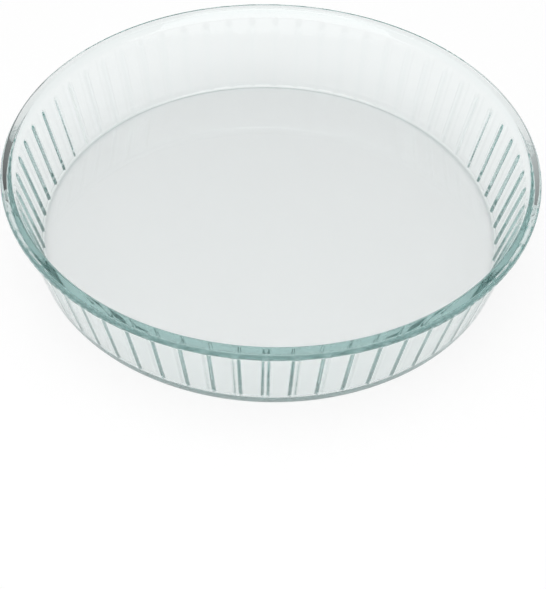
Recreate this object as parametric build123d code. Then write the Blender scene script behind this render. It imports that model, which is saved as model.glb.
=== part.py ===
from build123d import *
import math
import os

# Driving sizes of the dish, in millimetres
rim_diameter = 280.0
dish_height = 50.5
foot_diameter = 251.0
wall_thickness = 4.0
base_thickness = 3.0

# Rim: a rounded collar that flares out past the wall, in degrees from level for its underside
rim_height = 3.5
rim_overhang = 3.0
rim_round = 1.7
lip_radius = 1.5
under_rim_slope = 40.0
under_rim_radius = 3.0

# Corners: the curve inside between floor and wall, and the one outside under the heel
corner_radius = 4.0
heel_radius = 2.5

# Ribs: low rounded ridges on the inside of the wall, in degrees for the flanks
rib_count = 60
rib_width = 5.5
rib_flank_angle = 27.0
rib_crest_radius = 3.2
rib_root = 1.0

# Each rib stops short of the lip and runs out into the wall
rib_top_drop = 6.0
rib_runout = 2.0

# Worked out from the sizes above
rim_radius = rim_diameter / 2
foot_radius = foot_diameter / 2
rim_underside = dish_height - rim_height
wall_run = rim_radius - rim_overhang - foot_radius
wall_lean = math.atan2(wall_run, rim_underside)
level_thickness = wall_thickness / math.cos(wall_lean)
flare_drop = rim_overhang / (1 / math.tan(math.radians(under_rim_slope)) - math.tan(wall_lean))
rib_apex = rib_width / 2 * math.tan(math.radians(rib_flank_angle))


def wall_radius_at(height):
    """Radius of the line of the outer wall at a height above the table."""
    return foot_radius + height * math.tan(wall_lean)


def inner_radius_at(height):
    """Radius of the line of the inner wall, between the ribs."""
    return wall_radius_at(height) - level_thickness


def dish_section():
    """Half of the dish cut through its axis, without the ribs."""
    heel = (foot_radius, 0)
    flare_height = rim_underside - flare_drop
    under_rim = (wall_radius_at(flare_height), flare_height)
    rim_bottom = (rim_radius, rim_underside)
    rim_top = (rim_radius, dish_height)
    lip = (inner_radius_at(dish_height), dish_height)
    corner = (inner_radius_at(base_thickness), base_thickness)
    middle = (0, base_thickness)
    outline = [(0, 0), heel, under_rim, rim_bottom, rim_top, lip, corner, middle]
    section = make_face(Polyline(*outline, close=True))
    rounds = [(heel, heel_radius), (under_rim, under_rim_radius), (rim_bottom, rim_round)]
    rounds += [(rim_top, rim_round), (lip, lip_radius), (corner, corner_radius)]
    for place, radius in rounds:
        section = fillet(section.vertices().sort_by_distance(place)[0], radius)
    return section


def on_inner_wall(height):
    """A plane across the inner wall: x along the wall's ring, y in towards the axis."""
    upward = (math.sin(wall_lean), 0, math.cos(wall_lean))
    return Plane(origin=(inner_radius_at(height), 0, height), x_dir=(0, 1, 0), z_dir=upward)


def rib():
    """One rib, from inside the base to its run-out below the lip."""
    half = rib_width / 2
    outline = Polyline((-half, -rib_root), (half, -rib_root), (half, 0), (0, rib_apex), (-half, 0), close=True)
    profile = make_face(outline)
    profile = fillet(profile.vertices().sort_by_distance((0, rib_apex))[0], rib_crest_radius)
    start = base_thickness / 2
    rise = dish_height - rib_top_drop - start
    length = rise / math.cos(wall_lean)
    ridge = extrude(on_inner_wall(start) * profile, length)
    top = on_inner_wall(dish_height - rib_top_drop)
    slope = math.degrees(math.atan2(rib_runout, rib_apex))
    return split(ridge, bisect_by=top * Rot(-slope, 0, 0) * Plane.XY, keep=Keep.BOTTOM)


def glass_dish():
    """The whole dish, one piece of pressed glass."""
    body = revolve(Plane.XZ * dish_section(), Axis.Z)
    one_rib = rib()
    ribs = [place * one_rib for place in PolarLocations(0, rib_count)]
    return body + ribs


os.makedirs("parts", exist_ok=True)
export_step(glass_dish(), "parts/glass_dish.step")
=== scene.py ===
import math

import bmesh
import bpy
from mathutils import Matrix, Vector


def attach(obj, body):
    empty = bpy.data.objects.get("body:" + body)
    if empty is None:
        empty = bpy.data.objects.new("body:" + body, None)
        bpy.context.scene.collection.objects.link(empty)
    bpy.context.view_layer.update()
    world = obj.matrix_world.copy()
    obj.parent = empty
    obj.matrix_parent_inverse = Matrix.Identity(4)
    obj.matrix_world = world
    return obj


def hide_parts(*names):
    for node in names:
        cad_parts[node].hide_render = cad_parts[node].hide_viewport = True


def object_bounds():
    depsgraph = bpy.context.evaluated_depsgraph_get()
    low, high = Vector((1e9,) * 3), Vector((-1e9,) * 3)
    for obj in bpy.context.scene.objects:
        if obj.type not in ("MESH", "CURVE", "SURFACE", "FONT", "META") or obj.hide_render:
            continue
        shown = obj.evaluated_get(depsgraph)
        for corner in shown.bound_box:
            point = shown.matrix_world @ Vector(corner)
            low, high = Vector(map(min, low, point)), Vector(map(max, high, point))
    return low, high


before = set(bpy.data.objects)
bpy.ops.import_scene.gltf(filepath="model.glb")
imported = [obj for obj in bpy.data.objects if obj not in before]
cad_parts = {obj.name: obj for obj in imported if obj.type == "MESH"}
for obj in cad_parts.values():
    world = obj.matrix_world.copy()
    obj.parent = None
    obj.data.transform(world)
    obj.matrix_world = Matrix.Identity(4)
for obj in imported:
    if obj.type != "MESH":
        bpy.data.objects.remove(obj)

cad_low, cad_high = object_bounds()

# Overall size, from the dish in the frame
RIM_RADIUS = (cad_high.x - cad_low.x) / 2
DISH_HEIGHT = cad_high.z - cad_low.z

# Wall, floor and foot, in metres
WALL_UNDER_RIM_RADIUS = 0.1370
FOOT_RADIUS = 0.1255
WALL_THICKNESS = 0.004
FLOOR_THICKNESS = 0.003
CORNER_RADIUS = 0.004
HEEL_RADIUS = 0.0025

# Rim: a rounded collar with a sloping underside
RIM_DEPTH = 0.0035
RIM_ROUND = 0.0017
LIP_ROUND = 0.0015
UNDER_RIM_ROUND = 0.003
UNDER_RIM_SLOPE = math.radians(40)

# Ribs: low rounded ridges on the inside of the wall, which run out below the lip
RIB_COUNT = 60
RIB_HALF_WIDTH = 0.00275
RIB_HEIGHT = 0.00097
RIB_TOP = 0.0445
RIB_RUNOUT = 0.002

# Mesh fineness
STEPS_PER_HALF_PITCH = 12
STEP_GATHERING = 1.4
ARC_STEP = math.radians(5)
FEWEST_ARC_STEPS = 2
WALL_STEPS = 30
FLAT_MARGIN = 0.001

# Glass: clear, a little uneven, tinted with depth, and matt on the underside
GLASS_INDEX = 1.5
POLISH_SCALE = 90
POLISH_DETAIL = 3
POLISH_ROUGHNESS = 0.02
RIPPLE_SCALE = 28
RIPPLE_DETAIL = 1
RIPPLE_STRENGTH = 0.06
RIPPLE_DISTANCE = 0.0005
TINT = (0.70, 0.84, 0.83, 1)
TINT_DENSITY = 50
MATT_ROUGHNESS = 0.4
MATT_HEIGHT = 0.0001
MATT_END_HEIGHT = 0.0006

# Light: one wide soft lamp above and in front, and a sky that is brighter overhead and on the left
LAMP_PLACE = (0, -0.2, 0.8)
LAMP_SIZE = 0.9
LAMP_WATTS = 4.5
HORIZON_STRENGTH = 0.05
OVERHEAD_STRENGTH = 0.75
LEFT_STRENGTH = 0.45
LEFT_DIRECTION = -1

# Floor: how white it is to each kind of ray, the rest being its lit and shaded colour
FLOOR_SIZE = 6
FLOOR_DROP = 0.00002
FLOOR_COLOUR = (0.95, 0.95, 0.95, 1)
WHITE_SHARES = (("Is Camera Ray", 0.85), ("Is Glossy Ray", 0.5), ("Is Transmission Ray", 0.7))

# Camera: fitted to the photo, with lengths in its picture points and angles in radians
CAMERA_DISTANCE = 5.0271 * RIM_RADIUS
CAMERA_ELEVATION = 0.6962
CAMERA_ROLL = 0.0284
FOCAL_LENGTH = 1343.6
AIM_ACROSS = 5.14
AIM_DOWN = -138.65
PICTURE_LENGTH = 589
SENSOR_WIDTH = 36

# Bounces for light caught inside the glass
BOUNCES = 40

# Worked out from the sizes above
RIM_UNDERSIDE = DISH_HEIGHT - RIM_DEPTH
LEAN = math.atan2(WALL_UNDER_RIM_RADIUS - FOOT_RADIUS, RIM_UNDERSIDE)
LEVEL_THICKNESS = WALL_THICKNESS / math.cos(LEAN)
WHITE = (1, 1, 1, 1)


def outer_radius(height):
    """Radius of the line of the outer wall at a height above the table."""
    return FOOT_RADIUS + height * math.tan(LEAN)


def inner_radius(height):
    """Radius of the line of the inner wall, between the ribs."""
    return outer_radius(height) - LEVEL_THICKNESS


def arc(radius, height, size, start, end):
    """Points along an arc about a centre, from a start angle to an end angle."""
    steps = max(FEWEST_ARC_STEPS, math.ceil(abs(end - start) / ARC_STEP))
    angles = [start + (end - start) * step / steps for step in range(steps + 1)]
    return [(radius + size * math.cos(angle), height + size * math.sin(angle)) for angle in angles]


def under_rim_curve():
    """The hollow curve that joins the outer wall to the sloping underside of the rim."""
    out_of_wall = Vector((math.cos(LEAN), -math.sin(LEAN)))
    out_of_rim = Vector((math.sin(UNDER_RIM_SLOPE), -math.cos(UNDER_RIM_SLOPE)))
    from_wall = out_of_wall.dot(Vector((FOOT_RADIUS, 0))) + UNDER_RIM_ROUND
    from_rim = out_of_rim.dot(Vector((RIM_RADIUS, RIM_UNDERSIDE))) + UNDER_RIM_ROUND
    centre = Matrix((out_of_wall, out_of_rim)).inverted() @ Vector((from_wall, from_rim))
    return arc(centre.x, centre.y, UNDER_RIM_ROUND, math.pi - LEAN, math.pi / 2 + UNDER_RIM_SLOPE)


def outside():
    """The edge of the flat underside, the heel and the leaning wall, up to the curve under the rim."""
    inset = HEEL_RADIUS * (1 - math.sin(LEAN)) / math.cos(LEAN)
    heel = arc(FOOT_RADIUS - inset, HEEL_RADIUS, HEEL_RADIUS, -math.pi / 2, -LEAN)
    underside = [(heel[0][0] - FLAT_MARGIN, 0)]
    curve = under_rim_curve()
    start = heel[-1][1]
    rise = curve[0][1] - start
    heights = [start + rise * step / WALL_STEPS for step in range(1, WALL_STEPS)]
    return underside + heel + [(outer_radius(height), height) for height in heights] + curve


def rim():
    """The rim from its underside over the top to the lip inside."""
    rise = RIM_ROUND * (1 - math.sin(UNDER_RIM_SLOPE)) / math.cos(UNDER_RIM_SLOPE)
    middle = RIM_RADIUS - RIM_ROUND
    lower = arc(middle, RIM_UNDERSIDE + rise, RIM_ROUND, UNDER_RIM_SLOPE - math.pi / 2, 0)
    upper = arc(middle, DISH_HEIGHT - RIM_ROUND, RIM_ROUND, 0, math.pi / 2)
    height = DISH_HEIGHT - LIP_ROUND
    radius = inner_radius(height) + LIP_ROUND / math.cos(LEAN)
    lip = arc(radius, height, LIP_ROUND, math.pi / 2, math.pi - LEAN)
    return lower + upper + lip


def inside():
    """The inner wall and the curve at its foot, down to the floor."""
    height = FLOOR_THICKNESS + CORNER_RADIUS
    radius = inner_radius(height) - CORNER_RADIUS / math.cos(LEAN)
    corner = arc(radius, height, CORNER_RADIUS, -LEAN, -math.pi / 2)
    top = DISH_HEIGHT - LIP_ROUND
    drop = top - corner[0][1]
    heights = [top - drop * step / WALL_STEPS for step in range(1, WALL_STEPS)]
    return [(inner_radius(height), height) for height in heights] + corner


def rib_section(distance):
    """How far a rib stands out of the wall at a distance along the wall from its crest."""
    if abs(distance) >= RIB_HALF_WIDTH:
        return 0
    return RIB_HEIGHT / 2 * (1 + math.cos(math.pi * distance / RIB_HALF_WIDTH))


def turns():
    """Angles from the front of the dish, and from the nearest rib, for every column of the mesh."""
    half = math.pi / RIB_COUNT
    columns = []
    for rib in range(RIB_COUNT):
        for step in range(-STEPS_PER_HALF_PITCH, STEPS_PER_HALF_PITCH):
            share = step / STEPS_PER_HALF_PITCH
            offset = math.copysign(half * abs(share) ** STEP_GATHERING, share)
            columns.append((rib * half * 2 + offset, offset))
    return columns


def place_on_ring(mesh, radius, turn, height):
    """A vertex at a radius and a turn from the front of the dish."""
    return mesh.verts.new((radius * math.sin(turn), -radius * math.cos(turn), height))


def plain_ring(mesh, radius, height, columns):
    """One level ring of the mesh."""
    return [place_on_ring(mesh, radius, turn, height) for turn, offset in columns]


def ribbed_ring(mesh, radius, height, columns):
    """One level ring of the inside, where the ribs stand out of the wall and sink into the corner."""
    share = min(1, max(0, (RIB_TOP - height) / RIB_RUNOUT))
    wall = inner_radius(height)
    ring = []
    for turn, offset in columns:
        reach = min(radius, wall - share * rib_section(wall * offset))
        ring.append(place_on_ring(mesh, reach, turn, height))
    return ring


def dish_rings(mesh):
    """Every ring of the dish, from the underside over the rim to the floor inside."""
    columns = turns()
    rings = [plain_ring(mesh, radius, height, columns) for radius, height in outside() + rim()]
    rings += [ribbed_ring(mesh, radius, height, columns) for radius, height in inside()]
    floor_edge = inside()[-1][0] - FLAT_MARGIN
    rings.append(plain_ring(mesh, floor_edge, FLOOR_THICKNESS, columns))
    return rings


def dish_object():
    """The dish as one closed skin."""
    mesh = bmesh.new()
    rings = dish_rings(mesh)
    for lower, upper in zip(rings, rings[1:]):
        for index in range(len(lower)):
            after = (index + 1) % len(lower)
            mesh.faces.new((lower[index], lower[after], upper[after], upper[index]))
    mesh.faces.new(list(reversed(rings[0])))
    mesh.faces.new(rings[-1])
    for face in mesh.faces:
        face.smooth = True
    bmesh.ops.recalc_face_normals(mesh, faces=mesh.faces)
    data = bpy.data.meshes.new("pie_dish")
    mesh.to_mesh(data)
    mesh.free()
    piece = bpy.data.objects.new("pie_dish", data)
    bpy.context.scene.collection.objects.link(piece)
    return piece


def node(tree, kind, **values):
    """A new node with some of its inputs set."""
    made = tree.nodes.new(kind)
    for name, value in values.items():
        made.inputs[name.replace("_", " ")].default_value = value
    return made


def empty_material(name):
    """A new material without nodes, and its node tree."""
    material = bpy.data.materials.new(name)
    material.use_nodes = True
    material.node_tree.nodes.clear()
    return material, material.node_tree


def larger_of(tree, first, second):
    """The larger of two values."""
    larger = tree.nodes.new("ShaderNodeMath")
    larger.operation = "MAXIMUM"
    tree.links.new(first, larger.inputs[0])
    tree.links.new(second, larger.inputs[1])
    return larger.outputs["Value"]


def glass_roughness(tree, place):
    """Fire-polished almost everywhere, and matt where the dish stands on its underside."""
    fine = node(tree, "ShaderNodeTexNoise", Scale=POLISH_SCALE, Detail=POLISH_DETAIL)
    tree.links.new(place, fine.inputs["Vector"])
    polish = node(tree, "ShaderNodeMapRange", To_Min=0, To_Max=POLISH_ROUGHNESS)
    tree.links.new(fine.outputs["Fac"], polish.inputs["Value"])
    parts = tree.nodes.new("ShaderNodeSeparateXYZ")
    tree.links.new(place, parts.inputs["Vector"])
    matt = node(tree, "ShaderNodeMapRange", From_Min=MATT_HEIGHT, From_Max=MATT_END_HEIGHT)
    matt.inputs["To Min"].default_value = MATT_ROUGHNESS
    matt.inputs["To Max"].default_value = 0
    tree.links.new(parts.outputs["Z"], matt.inputs["Value"])
    return larger_of(tree, polish.outputs["Result"], matt.outputs["Result"])


def glass_normal(tree, place):
    """The slow unevenness of pressed glass."""
    slow = node(tree, "ShaderNodeTexNoise", Scale=RIPPLE_SCALE, Detail=RIPPLE_DETAIL)
    tree.links.new(place, slow.inputs["Vector"])
    ripple = node(tree, "ShaderNodeBump", Strength=RIPPLE_STRENGTH, Distance=RIPPLE_DISTANCE)
    tree.links.new(slow.outputs["Fac"], ripple.inputs["Height"])
    return ripple.outputs["Normal"]


def glass_material():
    """Clear pressed glass with a faint green-blue tint that grows with its thickness."""
    material, tree = empty_material("clear_glass")
    place = tree.nodes.new("ShaderNodeTexCoord").outputs["Object"]
    surface = node(tree, "ShaderNodeBsdfPrincipled", Base_Color=WHITE, Transmission_Weight=1)
    surface.inputs["IOR"].default_value = GLASS_INDEX
    tree.links.new(glass_roughness(tree, place), surface.inputs["Roughness"])
    tree.links.new(glass_normal(tree, place), surface.inputs["Normal"])
    depth = node(tree, "ShaderNodeVolumeAbsorption", Color=TINT, Density=TINT_DENSITY)
    out = tree.nodes.new("ShaderNodeOutputMaterial")
    tree.links.new(surface.outputs["BSDF"], out.inputs["Surface"])
    tree.links.new(depth.outputs["Volume"], out.inputs["Volume"])
    return material


def ray_share(tree, path, name, share):
    """A share for rays of one kind, and nothing for the others."""
    weighed = tree.nodes.new("ShaderNodeMath")
    weighed.operation = "MULTIPLY"
    weighed.inputs[1].default_value = share
    tree.links.new(path.outputs[name], weighed.inputs[0])
    return weighed.outputs["Value"]


def floor_material():
    """A pale floor that keeps the soft shadow and is otherwise nearly white to the camera."""
    material, tree = empty_material("floor")
    pale = node(tree, "ShaderNodeBsdfDiffuse", Color=FLOOR_COLOUR)
    white = node(tree, "ShaderNodeEmission", Color=WHITE, Strength=1)
    path = tree.nodes.new("ShaderNodeLightPath")
    camera, glossy, through = [ray_share(tree, path, name, share) for name, share in WHITE_SHARES]
    share = larger_of(tree, larger_of(tree, camera, glossy), through)
    mix = tree.nodes.new("ShaderNodeMixShader")
    out = tree.nodes.new("ShaderNodeOutputMaterial")
    tree.links.new(share, mix.inputs[0])
    tree.links.new(pale.outputs["BSDF"], mix.inputs[1])
    tree.links.new(white.outputs["Emission"], mix.inputs[2])
    tree.links.new(mix.outputs["Shader"], out.inputs["Surface"])
    return material


def add_floor():
    """A wide level floor under the dish."""
    mesh = bmesh.new()
    bmesh.ops.create_grid(mesh, x_segments=1, y_segments=1, size=FLOOR_SIZE)
    data = bpy.data.meshes.new("floor")
    mesh.to_mesh(data)
    mesh.free()
    data.materials.append(floor_material())
    floor = bpy.data.objects.new("floor", data)
    floor.location.z = -FLOOR_DROP
    bpy.context.scene.collection.objects.link(floor)


def add_lamp():
    """A soft square lamp that faces the dish."""
    data = bpy.data.lights.new("lamp", "AREA")
    data.shape = "SQUARE"
    data.size = LAMP_SIZE
    data.energy = LAMP_WATTS
    lamp = bpy.data.objects.new("lamp", data)
    lamp.location = LAMP_PLACE
    lamp.rotation_euler = (-lamp.location).to_track_quat("-Z", "Y").to_euler()
    bpy.context.scene.collection.objects.link(lamp)


def add_sky():
    """Even light from all round, brighter overhead and on the left, and white to the camera."""
    world = bpy.data.worlds.new("studio")
    world.use_nodes = True
    bpy.context.scene.world = world
    tree = world.node_tree
    tree.nodes.clear()
    direction = tree.nodes.new("ShaderNodeTexCoord").outputs["Generated"]
    parts = tree.nodes.new("ShaderNodeSeparateXYZ")
    tree.links.new(direction, parts.inputs["Vector"])
    rise = node(tree, "ShaderNodeMapRange", To_Min=HORIZON_STRENGTH, To_Max=OVERHEAD_STRENGTH)
    tree.links.new(parts.outputs["Z"], rise.inputs["Value"])
    left = node(tree, "ShaderNodeMapRange", From_Max=LEFT_DIRECTION, To_Max=LEFT_STRENGTH)
    tree.links.new(parts.outputs["X"], left.inputs["Value"])
    both = tree.nodes.new("ShaderNodeMath")
    tree.links.new(rise.outputs["Result"], both.inputs[0])
    tree.links.new(left.outputs["Result"], both.inputs[1])
    path = tree.nodes.new("ShaderNodeLightPath")
    strength = larger_of(tree, both.outputs["Value"], path.outputs["Is Camera Ray"])
    light = node(tree, "ShaderNodeBackground", Color=WHITE)
    tree.links.new(strength, light.inputs["Strength"])
    out = tree.nodes.new("ShaderNodeOutputWorld")
    tree.links.new(light.outputs["Background"], out.inputs["Surface"])


def add_camera():
    """The photo's viewpoint: in front of the dish, about forty degrees up."""
    data = bpy.data.cameras.new("camera")
    data.sensor_width = SENSOR_WIDTH
    data.lens = FOCAL_LENGTH * SENSOR_WIDTH / PICTURE_LENGTH
    camera = bpy.data.objects.new("camera", data)
    level = CAMERA_DISTANCE * math.cos(CAMERA_ELEVATION)
    height = DISH_HEIGHT + CAMERA_DISTANCE * math.sin(CAMERA_ELEVATION)
    down = Matrix.Rotation(math.pi / 2 - CAMERA_ELEVATION, 4, "X")
    pan = Matrix.Rotation(-AIM_ACROSS / FOCAL_LENGTH, 4, "Y")
    tilt = Matrix.Rotation(AIM_DOWN / FOCAL_LENGTH, 4, "X")
    roll = Matrix.Rotation(CAMERA_ROLL, 4, "Z")
    camera.matrix_world = Matrix.Translation((0, -level, height)) @ down @ pan @ tilt @ roll
    bpy.context.scene.collection.objects.link(camera)
    bpy.context.scene.camera = camera


def set_picture():
    """Plain colour handling, and enough bounces for the glass."""
    scene = bpy.context.scene
    scene.view_settings.view_transform = "Standard"
    scene.cycles.max_bounces = BOUNCES
    scene.cycles.glossy_bounces = BOUNCES
    scene.cycles.transmission_bounces = BOUNCES


dish = dish_object()
dish.data.materials.append(glass_material())
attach(dish, "root")
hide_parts("glass_dish")

add_floor()
add_lamp()
add_sky()
add_camera()
set_picture()
